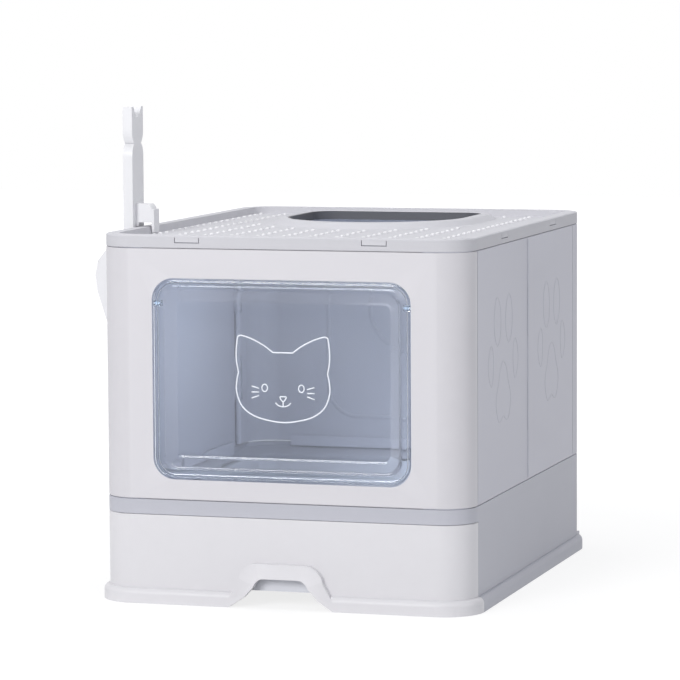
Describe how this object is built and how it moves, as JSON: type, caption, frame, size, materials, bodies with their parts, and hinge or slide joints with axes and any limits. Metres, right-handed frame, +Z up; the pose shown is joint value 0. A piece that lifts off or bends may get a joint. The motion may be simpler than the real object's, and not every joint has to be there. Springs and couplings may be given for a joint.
{
  "type": "cat litter box with hood",
  "caption": "Enclosed cat litter box with a pull-out drawer, folding hood, see-through swing flap, lift-off lid with top entry and a hang-on scoop.",
  "frame": {"origin": "centre of the rectangular footprint, on the floor", "axes": "+Z up; the window and the drawer front face -Y; +X is to the right seen from the front"},
  "size_m": [0.4393, 0.514, 0.5125],
  "materials": {
    "base_plastic": "fine satin moulding, blue-grey",
    "tray_plastic": "satin moulding, pale grey",
    "drawer_plastic": "semi-gloss white moulding",
    "hood_plastic": "fine satin moulding, light grey",
    "front_plastic": "fine satin moulding, light grey",
    "clear_flap": "clear polished sheet with a faint blue tint",
    "lid_plastic": "fine satin moulding, light grey",
    "ring_plastic": "dark grey moulding",
    "scoop_plastic": "semi-gloss white moulding",
    "pin_plastic": "white moulded pin",
    "pin_steel": "drawn wire"
  },
  "bodies": {
    "base": {"base_frame": "base_plastic"},
    "drawer": {"drawer_tray": "tray_plastic", "drawer_front": "drawer_plastic"},
    "hood": {"back_panel": "hood_plastic", "rear_right_hinge_pin": "pin_steel", "rear_left_hinge_pin": "pin_steel"},
    "right_rear": {"right_rear_panel": "hood_plastic"},
    "right_front": {"right_front_panel": "hood_plastic", "right_mid_hinge_wire": "pin_steel"},
    "front": {"front_panel": "front_plastic", "front_right_hinge_pin": "pin_steel", "front_left_hinge_pin": "pin_steel"},
    "left_rear": {"left_rear_panel": "hood_plastic"},
    "left_front": {"left_front_panel": "hood_plastic", "left_mid_hinge_wire": "pin_steel"},
    "flap": {"window_flap": "clear_flap", "flap_pin_left": "pin_plastic", "flap_pin_right": "pin_plastic"},
    "lid": {"lid": "lid_plastic", "entry_ring": "ring_plastic"},
    "scoop": {"scoop": "scoop_plastic"}
  },
  "joints": [
    {"name": "drawer_slide", "type": "slide", "parent": "base", "child": "drawer", "axis": [0, -1, 0], "range_m": [0, 0.42]},
    {"name": "hood_lift", "type": "slide", "parent": "base", "child": "hood", "axis": [0, 0, 1], "range_m": [0, 0.1]},
    {"name": "hood_fold", "type": "hinge", "parent": "hood", "child": "right_rear", "pos_m": [0.1935, 0.183, 0.24], "axis": [0, 0, -1], "range_deg": [0, 84]},
    {"name": "right_crease", "type": "hinge", "parent": "right_rear", "child": "right_front", "pos_m": [0.2, -0.009, 0.24], "axis": [0, 0, 1], "range_deg": [0, 168]},
    {"name": "front_swing", "type": "hinge", "parent": "right_front", "child": "front", "pos_m": [0.1935, -0.201, 0.24], "axis": [0, 0, -1], "range_deg": [0, 84]},
    {"name": "left_rear_fold", "type": "hinge", "parent": "hood", "child": "left_rear", "pos_m": [-0.1935, 0.183, 0.24], "axis": [0, 0, 1], "range_deg": [0, 84]},
    {"name": "left_crease", "type": "hinge", "parent": "left_rear", "child": "left_front", "pos_m": [-0.2, -0.009, 0.24], "axis": [0, 0, -1], "range_deg": [0, 168]},
    {"name": "flap_swing", "type": "hinge", "parent": "front", "child": "flap", "pos_m": [0, -0.2435, 0.3135], "axis": [-1, 0, 0], "range_deg": [-80, 60]},
    {"name": "lid_lift", "type": "slide", "parent": "hood", "child": "lid", "axis": [0, 0, 1], "range_m": [0, 0.12]},
    {"name": "scoop_lift", "type": "slide", "parent": "lid", "child": "scoop", "axis": [0, 0, 1], "range_m": [0, 0.16]}
  ],
  "couplings": [
    {"joint": "right_crease", "follows": "hood_fold", "ratio": 2},
    {"joint": "front_swing", "follows": "hood_fold", "ratio": 1},
    {"joint": "left_rear_fold", "follows": "hood_fold", "ratio": 1},
    {"joint": "left_crease", "follows": "hood_fold", "ratio": 2}
  ]
}
